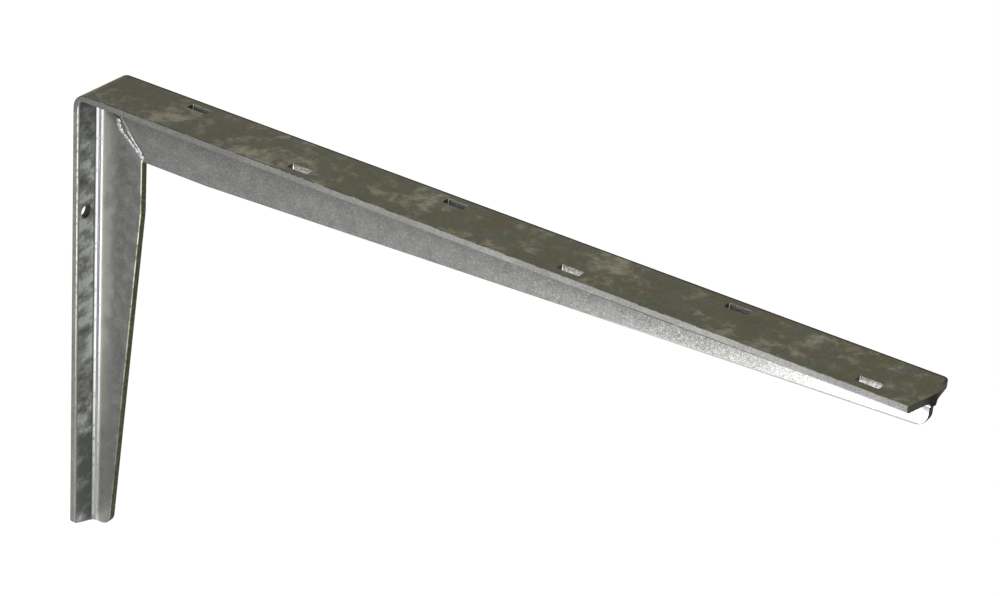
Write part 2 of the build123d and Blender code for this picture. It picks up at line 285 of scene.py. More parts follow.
    # each crystal leans its own way, less on the leg and towards the arm's end
    centred = addNode(tree, "ShaderNodeVectorMath", {1: (0.5, 0.5, 0.5)}, {0: crystal.outputs["Color"]},
                      operation="SUBTRACT")
    settled = addNode(tree, "ShaderNodeMapRange", span(s["lean"], mm), {0: x})
    calm = addNode(tree, "ShaderNodeMapRange", {4: s["legLean"]}, {0: onLeg, 3: settled})
    lean = addNode(tree, "ShaderNodeVectorMath", links={0: centred, "Scale": calm}, operation="SCALE")
    facing = addNode(tree, "ShaderNodeNewGeometry").outputs["Normal"]
    tilt = addNode(tree, "ShaderNodeVectorMath", links={0: facing, 1: lean}, operation="ADD")
    tilt = addNode(tree, "ShaderNodeVectorMath", links={0: tilt}, operation="NORMALIZE")
    smoothest = addNode(tree, "ShaderNodeMapRange", span(s["smoothest"]), {0: onLeg})
    roughest = addNode(tree, "ShaderNodeMapRange", span(s["roughest"], mm), {0: x})
    rough = addNode(tree, "ShaderNodeMapRange", links={0: leaning, 3: smoothest, 4: roughest})
    rough = addNode(tree, "ShaderNodeMath", links={0: rough, 1: grey}, operation="MAXIMUM")
    whole = rootSideLight
    for mask in (rootGlowLight, grey):
        whole = addNode(tree, "ShaderNodeMath", links={0: whole, 1: mask}, operation="MAXIMUM")
    metal = addNode(tree, "ShaderNodeMapRange", span(s["metal"]), {0: whole})
    metal = addNode(tree, "ShaderNodeMath", {1: -0.4}, {0: grey, 2: metal}, operation="MULTIPLY_ADD")
    zinc = addNode(tree, "ShaderNodeBsdfPrincipled",
                   links={"Base Color": colour, "Roughness": rough, "Metallic": metal, "Normal": tilt})
    addNode(tree, "ShaderNodeOutputMaterial", links={"Surface": zinc})
    return material


# Inner faces of the flange: dipped zinc that ran and clouded as it cooled, in soft dark and pale blotches
clouded = {"dark": "#444642", "mid": "#6C6E6B", "light": "#9A9D9B", "shade": "#35364A", "blotch": 8.0, "wisp": 1.8,
           "blotchShare": 0.75, "wispShare": 0.25, "stretch": (1.0, 0.45, 1.0), "foot": (-265.0, -190.0, 0.14, 0.0),
           "head": (-70.0, -15.0, -0.03, 0.07), "besideRootShade": (5.5, 6.4, 0.85, 0.0), "rough": (0.35, 0.65, 0.5, 0.36)}


def cloudedZinc():
    material, tree, where = newMaterial("dippedZincClouded")
    c = clouded
    x, y, z = addNode(tree, "ShaderNodeSeparateXYZ", links={0: where}).outputs
    laid = addNode(tree, "ShaderNodeMapping", {"Scale": c["stretch"]}, {"Vector": where})
    blotch = addNode(tree, "ShaderNodeTexNoise",
                     {"Scale": perMm(c["blotch"]), "Detail": 4.0, "Roughness": 0.5, "Distortion": 0.15},
                     {"Vector": laid})
    wisp = addNode(tree, "ShaderNodeTexNoise", {"Scale": perMm(c["wisp"]), "Detail": 3.0}, {"Vector": where})
    tone = addNode(tree, "ShaderNodeMath", {1: c["wispShare"]}, {0: wisp}, operation="MULTIPLY")
    tone = addNode(tree, "ShaderNodeMath", {1: c["blotchShare"]}, {0: blotch, 2: tone}, operation="MULTIPLY_ADD")
    foot = addNode(tree, "ShaderNodeMapRange", span(c["foot"], mm), {0: z})
    head = addNode(tree, "ShaderNodeMapRange", span(c["head"], mm), {0: z})
    for darker in (foot, head):
        tone = addNode(tree, "ShaderNodeMath", links={0: tone, 1: darker}, operation="SUBTRACT")
    base = addNode(tree, "ShaderNodeValToRGB", links={"Fac": tone},
                   stops=((0.39, c["dark"]), (0.5, c["mid"]), (0.6, c["light"])))
    # painted shade: a dark bluish line on the flange face beside the root
    side = addNode(tree, "ShaderNodeMath", links={0: y}, operation="ABSOLUTE")
    rootCreaseShade = addNode(tree, "ShaderNodeMapRange", span(c["besideRootShade"], mm), {0: side})
    colour = addNode(tree, "ShaderNodeMix", {7: linear(c["shade"])}, {0: rootCreaseShade, 6: base}, data_type="RGBA")
    rough = addNode(tree, "ShaderNodeMapRange", span(c["rough"]), {0: tone})
    bump = addNode(tree, "ShaderNodeBump", {"Strength": 0.2, "Distance": 0.2 * mm}, {"Height": wisp})
    zinc = addNode(tree, "ShaderNodeBsdfPrincipled", {"Metallic": 0.35},
                   {"Base Color": colour, "Roughness": rough, "Normal": bump})
    addNode(tree, "ShaderNodeOutputMaterial", links={"Surface": zinc})
    return material


# Rolled edges of the flange and its toes: thin grey zinc over the rolling marks, speckled, with a few pits
rolled = {"dark": "#686866", "mid": "#72726F", "light": "#82827F", "pit": "#32322C", "toe": "#F2F3F1",
          "fold": "#63655F", "toeShadow": "#3E3E3B", "lavenderShade": "#9A96B4", "streak": 8.0, "grain": 0.7, "pitSize": 3.2,
          "stretch": (0.3, 1.0, 0.6), "streakShare": 0.65, "grainShare": 0.35, "pits": (0.7, 0.74, 0.0, 0.9),
          "nearCorner": (20.0, 240.0, 0.66, 1.0), "nearEnd": (480.0, 545.0, 1.0, 0.76), "legTop": -12.0,
          "legLevel": 0.88, "toeShadowStart": (345.0, 385.0, 0.0, 1.0), "lavenderShadeStart": (440.0, 500.0, 0.0, 1.0),
          "armBottom": -8.0, "turnEarlier": 0.4, "turn": (3.9, 4.1, 0.0, 0.9), "rough": (0.0, 1.0, 0.54, 0.64)}
toeHighlight = {"rise": (3.05, 3.25, 0.0, 1.0), "fall": (3.6, 3.9, 1.0, 0.0), "top": (-9.5, -7.5, 1.0, 0.0),
           "down": (-220.0, -110.0, 0.08, 0.82), "breaks": (0.38, 0.5, 0.3, 1.0)}  # its painted highlight on the leg


def rolledEdgeZinc():
    material, tree, where = newMaterial("dippedZincRolledEdge")
    r = rolled
    x, y, z = addNode(tree, "ShaderNodeSeparateXYZ", links={0: where}).outputs
    along = addNode(tree, "ShaderNodeMapping", {"Scale": r["stretch"]}, {"Vector": where})
    streak = addNode(tree, "ShaderNodeTexNoise", {"Scale": perMm(r["streak"]), "Detail": 5.0, "Roughness": 0.6},
                     {"Vector": along})
    grain = addNode(tree, "ShaderNodeTexVoronoi", {"Scale": perMm(r["grain"])}, {"Vector": where})
    pick = addNode(tree, "ShaderNodeSeparateColor", links={0: grain.outputs["Color"]}).outputs
    tone = addNode(tree, "ShaderNodeMath", {1: r["grainShare"]}, {0: pick[0]}, operation="MULTIPLY")
    tone = addNode(tree, "ShaderNodeMath", {1: r["streakShare"]}, {0: streak, 2: tone}, operation="MULTIPLY_ADD")
    base = addNode(tree, "ShaderNodeValToRGB", links={"Fac": tone},
                   stops=((0.3, r["dark"]), (0.5, r["mid"]), (0.72, r["light"])))
    # darker near the corner and towards the arm's end, but not on the leg
    level = addNode(tree, "ShaderNodeMapRange", span(r["nearCorner"], mm), {0: x})
    outward = addNode(tree, "ShaderNodeMapRange", span(r["nearEnd"], mm), {0: x})
    legSide = addNode(tree, "ShaderNodeMath", {1: r["legTop"] * mm}, {0: z}, operation="LESS_THAN")
    legSide = addNode(tree, "ShaderNodeMath", {1: r["legLevel"]}, {0: legSide}, operation="MULTIPLY")
    level = addNode(tree, "ShaderNodeMath", links={0: level, 1: legSide}, operation="MAXIMUM")
    level = addNode(tree, "ShaderNodeMath", links={0: level, 1: outward}, operation="MULTIPLY")
    base = addNode(tree, "ShaderNodeVectorMath", links={0: base, 1: level}, operation="MULTIPLY")
    pit = addNode(tree, "ShaderNodeTexNoise", {"Scale": perMm(r["pitSize"]), "Detail": 3.0}, {"Vector": where})
    pitted = addNode(tree, "ShaderNodeMapRange", span(r["pits"]), {0: pit})
    colour = addNode(tree, "ShaderNodeMix", {7: linear(r["pit"])}, {0: pitted, 6: base}, data_type="RGBA")
    # the toe turns grey as the face behind it; further out it is painted dark as a shadow line, and then lavender as
    # painted shade
    below = addNode(tree, "ShaderNodeMath", {1: -1.0}, {0: z}, operation="MULTIPLY")
    depth = addNode(tree, "ShaderNodeMath", links={0: x, 1: below}, operation="MINIMUM")
    onArm = addNode(tree, "ShaderNodeMath", {1: r["armBottom"] * mm}, {0: z}, operation="GREATER_THAN")
    early = addNode(tree, "ShaderNodeMath", {1: r["turnEarlier"] * mm}, {0: onArm, 2: depth}, operation="MULTIPLY_ADD")
    turned = addNode(tree, "ShaderNodeMapRange", span(r["turn"], mm), {0: early})
    toeShadowMask = addNode(tree, "ShaderNodeMapRange", span(r["toeShadowStart"], mm), {0: x})
    lavenderShadeMask = addNode(tree, "ShaderNodeMapRange", span(r["lavenderShadeStart"], mm), {0: x})
    fold = addNode(tree, "ShaderNodeMix", {6: linear(r["fold"]), 7: linear(r["toeShadow"])}, {0: toeShadowMask},
                   data_type="RGBA")
    fold = addNode(tree, "ShaderNodeMix", {7: linear(r["lavenderShade"])}, {0: lavenderShadeMask, 6: fold}, data_type="RGBA")
    colour = addNode(tree, "ShaderNodeMix", links={0: turned, 6: colour, 7: fold}, data_type="RGBA")
    # on the leg a broken painted highlight runs down the toe
    line = addNode(tree, "ShaderNodeMapRange", span(toeHighlight["rise"], mm), {0: x})
    fall = addNode(tree, "ShaderNodeMapRange", span(toeHighlight["fall"], mm), {0: x})
    top = addNode(tree, "ShaderNodeMapRange", span(toeHighlight["top"], mm), {0: z})
    down = addNode(tree, "ShaderNodeMapRange", span(toeHighlight["down"], mm), {0: z})
    broken = addNode(tree, "ShaderNodeMapRange", span(toeHighlight["breaks"]), {0: pit})
    for mask in (fall, top, down, broken):
        line = addNode(tree, "ShaderNodeMath", links={0: line, 1: mask}, operation="MULTIPLY")
    colour = addNode(tree, "ShaderNodeMix", {7: linear(r["toe"])}, {0: line, 6: colour}, data_type="RGBA")
    rough = addNode(tree, "ShaderNodeMapRange", span(r["rough"]), {0: pick[1]})
    bump = addNode(tree, "ShaderNodeBump", {"Strength": 0.25, "Distance": 0.15 * mm}, {"Height": streak})
    zinc = addNode(tree, "ShaderNodeBsdfPrincipled", {"Metallic": 0.7},
                   {"Base Color": colour, "Roughness": rough, "Normal": bump})
    addNode(tree, "ShaderNodeOutputMaterial", links={"Surface": zinc})
    return material


# Roots: a painted reflection along the hollow, two bright lines with a duller one between and painted shade at its
# edge, fading down the leg
rootReflection = {"shade": "#4B4C58", "dull": "#484953", "bright": "#FAFBFB", "faded": "#7C7F7B", "ripple": 3.0,
           "down": (-270.0, -170.0, 0.75, 0.0), "breaks": (0.3, 0.45, 0.5, 0.0)}


def rootReflectionZinc():
    material, tree, where = newMaterial("dippedZincRootReflection")
    d = rootReflection
    x, y, z = addNode(tree, "ShaderNodeSeparateXYZ", links={0: where}).outputs
    below = addNode(tree, "ShaderNodeMath", {1: -1.0}, {0: z}, operation="MULTIPLY")
    depth = addNode(tree, "ShaderNodeMath", links={0: x, 1: below}, operation="MINIMUM")
    turn = addNode(tree, "ShaderNodeMapRange",
                   span((bar["flange"], bar["flange"] + bar["root"], 0.0, 1.0), mm), {0: depth})
    reflectionLines = addNode(tree, "ShaderNodeValToRGB", links={"Fac": turn},
                    stops=((0.0, d["shade"]), (0.03, d["bright"]), (0.21, d["bright"]), (0.27, d["dull"]),
                           (0.66, d["dull"]), (0.71, d["bright"])))
    ripple = addNode(tree, "ShaderNodeTexNoise", {"Scale": perMm(d["ripple"]), "Detail": 4.0}, {"Vector": where})
    down = addNode(tree, "ShaderNodeMapRange", span(d["down"], mm), {0: z})
    broken = addNode(tree, "ShaderNodeMapRange", span(d["breaks"]), {0: ripple})
    paintedLightShift = addNode(tree, "ShaderNodeMath", links={0: down, 1: broken}, operation="ADD", use_clamp=True)
    colour = addNode(tree, "ShaderNodeMix", {7: linear(d["faded"])}, {0: paintedLightShift, 6: reflectionLines}, data_type="RGBA")
    bump = addNode(tree, "ShaderNodeBump", {"Strength": 0.3, "Distance": 0.15 * mm}, {"Height": ripple})
    zinc = addNode(tree, "ShaderNodeBsdfPrincipled", {"Roughness": 0.3, "Metallic": 0.45},
                   {"Base Color": colour, "Normal": bump})
    addNode(tree, "ShaderNodeOutputMaterial", links={"Surface": zinc})
    return material


# Weld ridges: zinc over the flow of the weld, with painted shade in the hollows and a painted highlight on the crests
welded = {"dark": "#6E6F6B", "mid": "#868785", "light": "#A6A7A6", "flow": 1.3, "crestLight": (2.1, 2.9, -0.14, 0.1)}


def weldedZinc():
    material, tree, where = newMaterial("dippedZincOverWeld")
    w = welded
    x, y, z = addNode(tree, "ShaderNodeSeparateXYZ", links={0: where}).outputs
    flow = addNode(tree, "ShaderNodeTexNoise", {"Scale": perMm(w["flow"]), "Detail": 4.0}, {"Vector": where})
    side = addNode(tree, "ShaderNodeMath", links={0: y}, operation="ABSOLUTE")
    crestLight = addNode(tree, "ShaderNodeMapRange", span(w["crestLight"], mm), {0: side})
    tone = addNode(tree, "ShaderNodeMath", links={0: flow, 1: crestLight}, operation="ADD")
    base = addNode(tree, "ShaderNodeValToRGB", links={"Fac": tone},
                   stops=((0.36, w["dark"]), (0.5, w["mid"]), (0.66, w["light"])))
    bump = addNode(tree, "ShaderNodeBump", {"Strength": 0.5, "Distance": 0.25 * mm}, {"Height": flow})
    zinc = addNode(tree, "ShaderNodeBsdfPrincipled", {"Roughness": 0.5, "Metallic": 0.6},
                   {"Base Color": base, "Normal": bump})
    addNode(tree, "ShaderNodeOutputMaterial", links={"Surface": zinc})
    return material


# Ripples on the weld: the last zinc to run off, coloured bright as a painted highlight
rippleHighlight = {"dark": "#7C7D7C", "light": "#B9BABA", "flow": 1.1}


def rippleHighlightZinc():
    material, tree, where = newMaterial("dippedZincBright")
    flow = addNode(tree, "ShaderNodeTexNoise", {"Scale": perMm(rippleHighlight["flow"]), "Detail": 3.0}, {"Vector": where})
    base = addNode(tree, "ShaderNodeValToRGB", links={"Fac": flow},
                   stops=((0.42, rippleHighlight["dark"]), (0.56, rippleHighlight["light"])))
    bump = addNode(tree, "ShaderNodeBump", {"Strength": 0.2, "Distance": 0.1 * mm}, {"Height": flow})
    zinc = addNode(tree, "ShaderNodeBsdfPrincipled", {"Roughness": 0.44, "Metallic": 0.5},
                   {"Base Color": base, "Normal": bump})
    addNode(tree, "ShaderNodeOutputMaterial", links={"Surface": zinc})
    return material


# Sheared ends and the web's free edges: thin zinc over a torn cut, dull, and painted dark as shade, darkest across the
# arm's end
sheared = {"dark": "#302F1C", "mid": "#3C3D28", "light": "#5A5B45", "end": "#0F0C06", "nearEnd": "#403F37",
           "rolledOver": "#4B4534", "lower": "#7C7C78", "tear": 2.0, "draggedDown": (-2.9, -1.5, 1.0, 0.0),
           "farCorner": (12.0, 17.0, 0.0, 0.95), "middle": (3.0, 7.0, 1.0, 0.0), "farHalf": (-10.0, -2.0, 0.0, 1.0),
           "armEnd": (535.0, 540.0, 0.0, 0.9), "lowerStart": (42.0, 60.0, 0.0, 0.8),
           "lowerEnd": (530.0, 540.0, 1.0, 0.0), "metal": (0.0, 1.0, 0.45, 0.1)}


def shearedZinc():
    material, tree, where = newMaterial("dippedZincSheared")
    s = sheared
    x, y, z = addNode(tree, "ShaderNodeSeparateXYZ", links={0: where}).outputs
    tear = addNode(tree, "ShaderNodeTexNoise", {"Scale": perMm(s["tear"]), "Detail": 5.0, "Roughness": 0.65},
                   {"Vector": where})
    base = addNode(tree, "ShaderNodeValToRGB", links={"Fac": tear},
                   stops=((0.35, s["dark"]), (0.5, s["mid"]), (0.68, s["light"])))
    # the shears dragged the brown top down over the far half, and below it the end is painted black as shade, as at the
    # web
    black = addNode(tree, "ShaderNodeMapRange", span(s["draggedDown"], mm), {0: z})
    rounded = addNode(tree, "ShaderNodeMapRange", span(s["farCorner"], mm), {0: y})
    middle = addNode(tree, "ShaderNodeMapRange", span(s["middle"], mm), {0: y})
    for mask in (rounded, middle):
        black = addNode(tree, "ShaderNodeMath", links={0: black, 1: mask}, operation="MAXIMUM")
    farTone = addNode(tree, "ShaderNodeMix", {6: linear(s["rolledOver"]), 7: linear(s["end"])}, {0: black},
                      data_type="RGBA")
    farHalf = addNode(tree, "ShaderNodeMapRange", span(s["farHalf"], mm), {0: y})
    tone = addNode(tree, "ShaderNodeMix", {6: linear(s["nearEnd"])}, {0: farHalf, 7: farTone}, data_type="RGBA")
    armEnd = addNode(tree, "ShaderNodeMapRange", span(s["armEnd"], mm), {0: x})
    colour = addNode(tree, "ShaderNodeMix", links={0: armEnd, 6: base, 7: tone}, data_type="RGBA")
    # the web's lower edge is greyer along the arm
    lower = addNode(tree, "ShaderNodeMapRange", span(s["lowerStart"], mm), {0: x})
    before = addNode(tree, "ShaderNodeMapRange", span(s["lowerEnd"], mm), {0: x})
    lower = addNode(tree, "ShaderNodeMath", links={0: lower, 1: before}, operation="MULTIPLY")
    colour = addNode(tree, "ShaderNodeMix", {7: linear(s["lower"])}, {0: lower, 6: colour}, data_type="RGBA")
    metal = addNode(tree, "ShaderNodeMapRange", span(s["metal"]), {0: armEnd})
    blackShade = farHalf
    for mask in (black, armEnd):
        blackShade = addNode(tree, "ShaderNodeMath", links={0: blackShade, 1: mask}, operation="MULTIPLY")
    metal = addNode(tree, "ShaderNodeMath", links={0: metal, 1: blackShade}, operation="MAXIMUM")
    bump = addNode(tree, "ShaderNodeBump", {"Strength": 0.4, "Distance": 0.25 * mm}, {"Height": tear})
    zinc = addNode(tree, "ShaderNodeBsdfPrincipled", {"Roughness": 0.6, "Specular IOR Level": 0.15},
                   {"Base Color": colour, "Metallic": metal, "Normal": bump})
    addNode(tree, "ShaderNodeOutputMaterial", links={"Surface": zinc})
    return material


# Walls of the punched slots: pale speckled zinc on the long walls, with a painted highlight in the corners and painted
# shade on the end walls
punched = {"dark": "#2B291F", "pale": "#6F6F6A", "light": "#A6A6A1", "corner": "#E3E4E1", "grain": 1.1,
           "nearWall": -0.7, "farSlotShade": (0.0, 1.0, 1.0, 0.78), "endWallShade": (0.7, 0.85, 0.0, 0.95),
           "rimLineLight": (-0.9, -0.5, 0.0, 0.7)}


def punchedZinc():
    material, tree, where = newMaterial("dippedZincPunched")
    p = punched
    x, y, z = addNode(tree, "ShaderNodeSeparateXYZ", links={0: where}).outputs
    facing = addNode(tree, "ShaderNodeNewGeometry").outputs["Normal"]
    alongArm, acrossArm, upward = addNode(tree, "ShaderNodeSeparateXYZ", links={0: facing}).outputs
    grain = addNode(tree, "ShaderNodeTexNoise", {"Scale": perMm(p["grain"]), "Detail": 3.0}, {"Vector": where})
    base = addNode(tree, "ShaderNodeValToRGB", links={"Fac": grain}, stops=((0.4, p["pale"]), (0.62, p["light"])))
    # painted shade darkens the slots in the far half, with a painted highlight as a paler line under the rim
    farHalf = addNode(tree, "ShaderNodeMath", {1: 0.0}, {0: y}, operation="GREATER_THAN")
    level = addNode(tree, "ShaderNodeMapRange", span(p["farSlotShade"]), {0: farHalf})
    base = addNode(tree, "ShaderNodeVectorMath", links={0: base, 1: level}, operation="MULTIPLY")
    # painted highlight in the corners, where the wall turns
    mask = addNode(tree, "ShaderNodeValToRGB", links={"Fac": alongArm},
                   stops=((0.2, "#000000"), (0.45, "#FFFFFF"), (0.7, "#FFFFFF"), (0.85, "#000000")))
    colour = addNode(tree, "ShaderNodeMix", {7: linear(p["corner"])}, {0: mask, 6: base}, data_type="RGBA")
    deep = addNode(tree, "ShaderNodeMapRange", span(p["endWallShade"]), {0: alongArm})
    colour = addNode(tree, "ShaderNodeMix", {7: linear(p["dark"])}, {0: deep, 6: colour}, data_type="RGBA")
    line = addNode(tree, "ShaderNodeMapRange", span(p["rimLineLight"], mm), {0: z})
    nearWall = addNode(tree, "ShaderNodeMath", {1: p["nearWall"]}, {0: acrossArm}, operation="LESS_THAN")
    for mask in (farHalf, nearWall):
        line = addNode(tree, "ShaderNodeMath", links={0: line, 1: mask}, operation="MULTIPLY")
    colour = addNode(tree, "ShaderNodeMix", {7: linear(p["light"])}, {0: line, 6: colour}, data_type="RGBA")
    bump = addNode(tree, "ShaderNodeBump", {"Strength": 0.5, "Distance": 0.2 * mm}, {"Height": grain})
    zinc = addNode(tree, "ShaderNodeBsdfPrincipled", {"Roughness": 0.5, "Metallic": 0.35},
                   {"Base Color": colour, "Normal": bump})
    addNode(tree, "ShaderNodeOutputMaterial", links={"Surface": zinc})
    return material


# Walls of the drilled wall holes: painted dark as shade, mottled with brown
drilled = {"dark": "#18150D", "brown": "#332C1B", "mark": 1.6}


def drilledZinc():
    material, tree, where = newMaterial("dippedZincDrilled")
    d = drilled
    mark = addNode(tree, "ShaderNodeTexNoise", {"Scale": perMm(d["mark"]), "Detail": 4.0}, {"Vector": where})
    base = addNode(tree, "ShaderNodeValToRGB", links={"Fac": mark}, stops=((0.4, d["dark"]), (0.62, d["brown"])))
    bump = addNode(tree, "ShaderNodeBump", {"Strength": 0.4, "Distance": 0.2 * mm}, {"Height": mark})
    zinc = addNode(tree, "ShaderNodeBsdfPrincipled", {"Roughness": 0.5, "Metallic": 0.5},
                   {"Base Color": base, "Normal": bump})
    addNode(tree, "ShaderNodeOutputMaterial", links={"Surface": zinc})
    return material


finishes = {"outer": weatheredZinc(), "web": spangledZinc(), "inner": cloudedZinc(), "edge": rolledEdgeZinc(),
            "root": rootReflectionZinc(), "weld": weldedZinc(), "corner": shadedCornerZinc(), "cut": shearedZinc(),
            "punched": punchedZinc(), "drilled": drilledZinc()}
order = list(finishes)
print("finishes made")


# The bracket itself: the solid's own skin, with its cut rims rounded as the zinc rounds them
skin = {"merge": 0.001, "flat": 0.005, "rim": 0.28, "rimSteps": 2, "rimAngle": 40.0, "softAngle": 34.0}
# where the faces of each kind lie, in millimetres, and how far a face has to turn to count as slanted
zones = {"touch": 0.01, "slant": 0.05, "outside": 0.02, "rootSlant": 0.03, "bendDepth": 3.0, "armEnd": 9.0,
         "legEnd": 6.5, "weldX": (9.0, 41.0), "weldZ": (-42.0, -10.0), "holeReach": 4.3,
         "holes": ((-12.8, -79.0), (12.8, -221.0))}


def inWeld(x, z):
    return zones["weldX"][0] < x < zones["weldX"][1] and zones["weldZ"][0] < z < zones["weldZ"][1]


def faceFinish(centre, normal):  # a face's finish, from where it lies and faces
    x, y, z = (c / mm for c in centre)
    nx, ny, nz = normal
    depth = min(x, -z)  # under the two outer planes
    across = abs(y)
    touch, slant = zones["touch"], zones["slant"]
    onBend = x < bar["bend"] and z > -bar["bend"] and abs(ny) < slant
    onToe = across > bar["halfWidth"] - bar["toe"] - touch and abs(ny) > slant
    if across > bar["halfWidth"] - touch:
        return "edge"
    if depth < touch or onBend and depth < zones["bendDepth"]:
        return "outer"
    if x > bar["arm"] - zones["armEnd"] and nx > slant or z < -bar["leg"] + zones["legEnd"] and nz < -slant:
        return "cut"
    if depth < bar["flange"] - touch and not onBend:
        for holeY, holeZ in zones["holes"]:
            if math.hypot(y - holeY, z - holeZ) < zones["holeReach"]:
                return "drilled"
        if onToe:
            outside = nz > zones["outside"] or nx < -zones["outside"]
            return "corner" if outside else "edge"
        return "punched"
    if abs(across - bar["halfWeb"]) < touch:
        return "web"
    if inWeld(x, z) and across > bar["halfWeb"]:
        return "weld"
    besideWeb = bar["halfWeb"] < across < bar["halfWeb"] + bar["root"] + touch
    if besideWeb and depth < bar["flange"] + bar["root"] and abs(ny) > zones["rootSlant"]:
        return "root"
    if onToe:
        return "edge"
    return "inner" if depth < bar["flange"] + bar["root"] else "cut"


def makeSkin():
    work = bmesh.new()
    work.from_mesh(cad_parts["bracket"].data)
    bmesh.ops.remove_doubles(work, verts=work.verts, dist=skin["merge"] * mm)
    bmesh.ops.dissolve_limit(work, angle_limit=skin["flat"], verts=work.verts, edges=work.edges)
    for face in work.faces:
        face.material_index = order.index(faceFinish(face.calc_center_median(), face.normal))
        face.smooth = True
    rims = []
    for edge in work.edges:
        if len(edge.link_faces) != 2 or not edge.is_convex:
            continue
        if edge.calc_face_angle() < math.radians(skin["rimAngle"]):
            continue
        x, y, z = (edge.verts[0].co + edge.verts[1].co) / 2 / mm
        if not (inWeld(x, z) and abs(y) > 1.0):  # the weld keeps its own form
            rims.append(edge)
    bmesh.ops.bevel(work, geom=rims, offset=skin["rim"] * mm, segments=skin["rimSteps"], profile=0.5,
                    affect="EDGES", clamp_overlap=False, material=-1)
    for point in work.verts:  # no rounded rim may swell out of the solid's box
        for i in range(3):
            point.co[i] = min(max(point.co[i], cadBox[0][i]), cadBox[1][i])
    for edge in work.edges:
        edge.smooth = len(edge.link_faces) == 2 and edge.calc_face_angle() < math.radians(skin["softAngle"])
    mesh = bpy.data.meshes.new("bracketSteel")
    work.to_mesh(mesh)
    print("skin:", len(work.verts), "points,", len(work.faces), "faces,",
          sum(not e.is_manifold for e in work.edges), "open edges,", len(rims), "rim edges")
    work.free()
    for name in order:
        mesh.materials.append(finishes[name])
    piece = bpy.data.objects.new("bracketSteel", mesh)
    bpy.context.scene.collection.objects.link(piece)
    even = piece.modifiers.new("evenShading", "WEIGHTED_NORMAL")
    even.keep_sharp = True
    return piece


# The weld's ripples, on the crests of its two ridges, where the zinc ran off last
ripples = {"pitch": 0.6, "spread": 0.18, "lift": 2.3, "seed": 7}
rippleRuns = {
    "legRidgeTop": {"radius": 1.5, "length": 1.3, "height": 0.48,
                    "along": ((19.5, -17.9), (19.9, -20.2), (20.9, -22.6), (22.2, -24.2))},
    "legRidge": {"radius": 1.15, "length": 1.2, "height": 0.42,
                 "along": ((23.0, -24.9), (25.8, -27.0), (28.4, -28.9), (32.2, -32.1), (35.4, -34.7), (37.8, -36.5))},
    "armRidge": {"radius": 0.75, "length": 1.2, "height": 0.46,
                 "along": ((26.6, -22.5), (29.6, -25.8), (33.0, -29.4), (36.1, -32.8), (38.0, -35.2))}}


def rippleTree():
    tree = bpy.data.node_groups.new("weldRipples", "GeometryNodeTree")
    tree.interface.new_socket("Geometry", in_out="INPUT", socket_type="NodeSocketGeometry")
    for name in ("Pitch", "Radius", "Length", "Height", "Spread"):
        tree.interface.new_socket(name, in_out="INPUT", socket_type="NodeSocketFloat")
    tree.interface.new_socket("Seed", in_out="INPUT", socket_type="NodeSocketInt")
    tree.interface.new_socket("Zinc", in_out="INPUT", socket_type="NodeSocketMaterial")
    tree.interface.new_socket("Geometry", in_out="OUTPUT", socket_type="NodeSocketGeometry")
    size = addNode(tree, "NodeGroupInput").outputs
    path = addNode(tree, "GeometryNodeMeshToCurve", links={"Mesh": size["Geometry"]})
    steps = addNode(tree, "GeometryNodeResampleCurve", links={"Curve": path, "Length": size["Pitch"]}, mode="LENGTH")
    smallest = addNode(tree, "ShaderNodeMath", {0: 1.0}, {1: size["Spread"]}, operation="SUBTRACT")
    largest = addNode(tree, "ShaderNodeMath", {0: 1.0}, {1: size["Spread"]}, operation="ADD")
    swell = addNode(tree, "FunctionNodeRandomValue", links={"Seed": size["Seed"], 2: smallest, 3: largest},
                    data_type="FLOAT")
    drop = addNode(tree, "GeometryNodeMeshIcoSphere", {"Radius": 1.0, "Subdivisions": 2})
    shape = addNode(tree, "ShaderNodeCombineXYZ", links={0: size["Radius"], 1: size["Height"], 2: size["Length"]})
    formed = addNode(tree, "GeometryNodeTransform", links={"Geometry": drop, "Scale": shape})
    run = addNode(tree, "GeometryNodeInputTangent")
    turn = addNode(tree, "FunctionNodeAlignRotationToVector", links={"Vector": run}, axis="Z", pivot_axis="Y")
    laid = addNode(tree, "GeometryNodeInstanceOnPoints",
                   links={"Points": steps, "Instance": formed, "Rotation": turn, "Scale": swell})
    whole = addNode(tree, "GeometryNodeRealizeInstances", links={0: laid})
    smooth = addNode(tree, "GeometryNodeSetShadeSmooth", links={0: whole})
    painted = addNode(tree, "GeometryNodeSetMaterial", links={"Geometry": smooth, "Material": size["Zinc"]})
    addNode(tree, "NodeGroupOutput", links={0: painted})
    return tree


def growRun(run, side, tree, zinc):  # one run of ripples along its path, as a plain mesh
    points = [(x * mm, side * ripples["lift"] * mm, z * mm) for x, z in run["along"]]
    mesh = bpy.data.meshes.new("weldPath")
    mesh.from_pydata(points, [(i, i + 1) for i in range(len(points) - 1)], [])
    path = bpy.data.objects.new("weldPath", mesh)
    bpy.context.scene.collection.objects.link(path)
    grow = path.modifiers.new("ripples", "NODES")
    grow.node_group = tree
    given = {"Pitch": ripples["pitch"] * mm, "Radius": run["radius"] * mm, "Length": run["length"] * mm,
             "Height": run["height"] * mm, "Spread": ripples["spread"], "Seed": ripples["seed"], "Zinc": zinc}
    for socket in tree.interface.items_tree:
        if socket.name in given:
            grow[socket.identifier] = given[socket.name]
    bpy.context.view_layer.update()
    grown = bpy.data.meshes.new_from_object(path.evaluated_get(bpy.context.evaluated_depsgraph_get()))
    bpy.data.objects.remove(path)
    return grown


